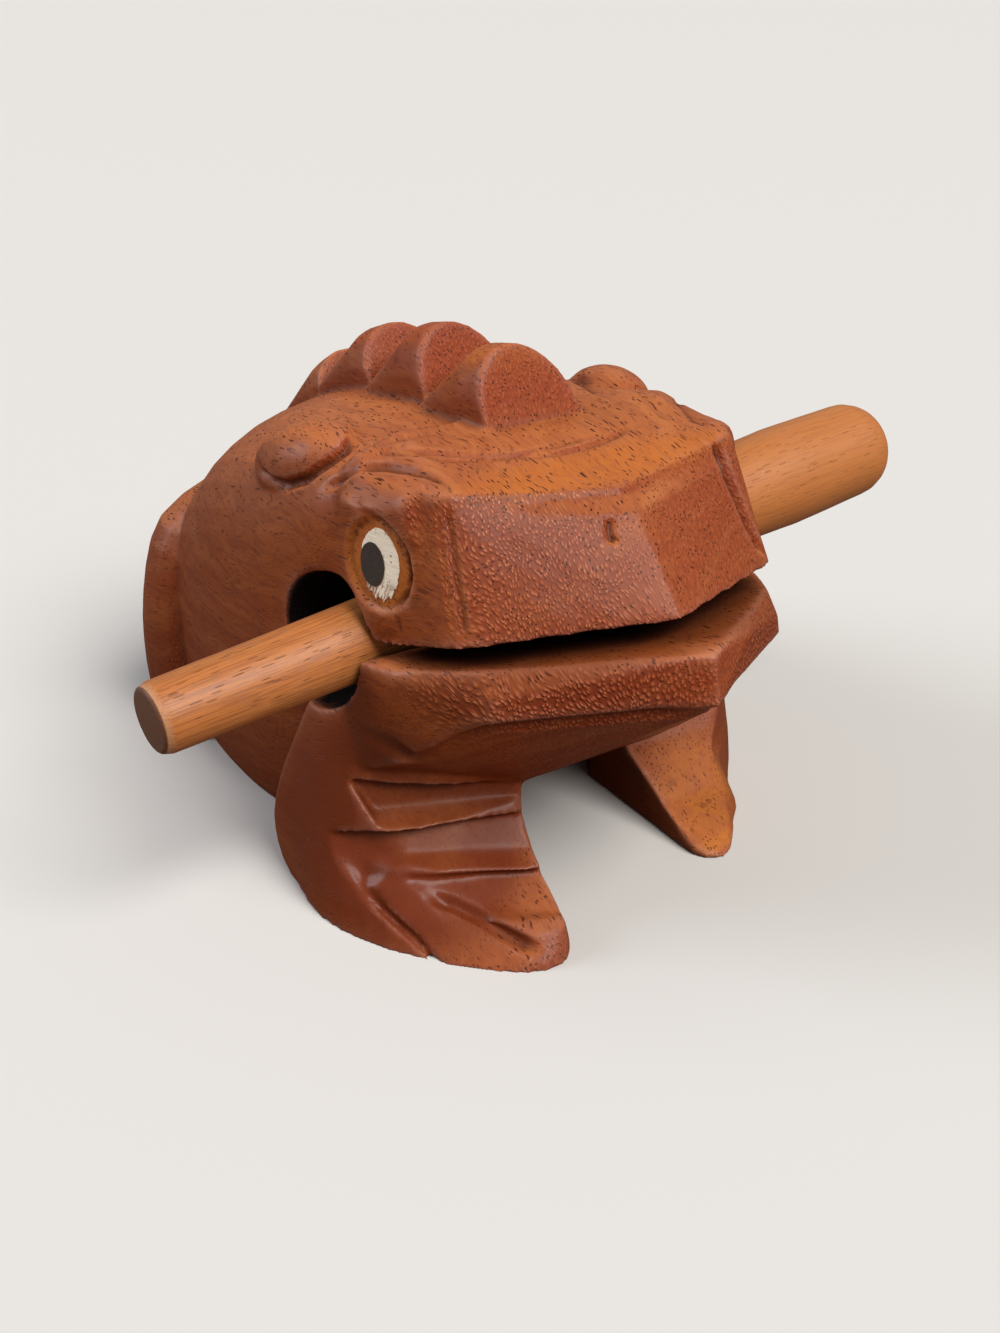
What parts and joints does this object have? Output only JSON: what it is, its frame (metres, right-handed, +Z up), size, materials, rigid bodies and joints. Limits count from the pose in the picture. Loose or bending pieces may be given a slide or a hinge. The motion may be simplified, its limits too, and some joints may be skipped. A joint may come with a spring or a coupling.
{
  "type": "frog guiro",
  "caption": "Carved wooden frog with a toothed spine, a cross hole through the head and a loose turned stick that scrapes the spine.",
  "frame": {"origin": "On the flat underside of the belly, on the frog's middle plane, 33 mm behind the middle of the cross hole.", "axes": "The frog faces -Y, its right side is -X, +Z is up. The stick lies roughly along X."},
  "size_m": [0.1375, 0.1262, 0.0773],
  "materials": {
    "carved_wood": "satin lacquer over red-brown stain",
    "turned_wood": "satin lacquer"
  },
  "bodies": {
    "root": {"frog_body": "carved_wood", "striker_stick": "turned_wood"}
  },
  "joints": []
}
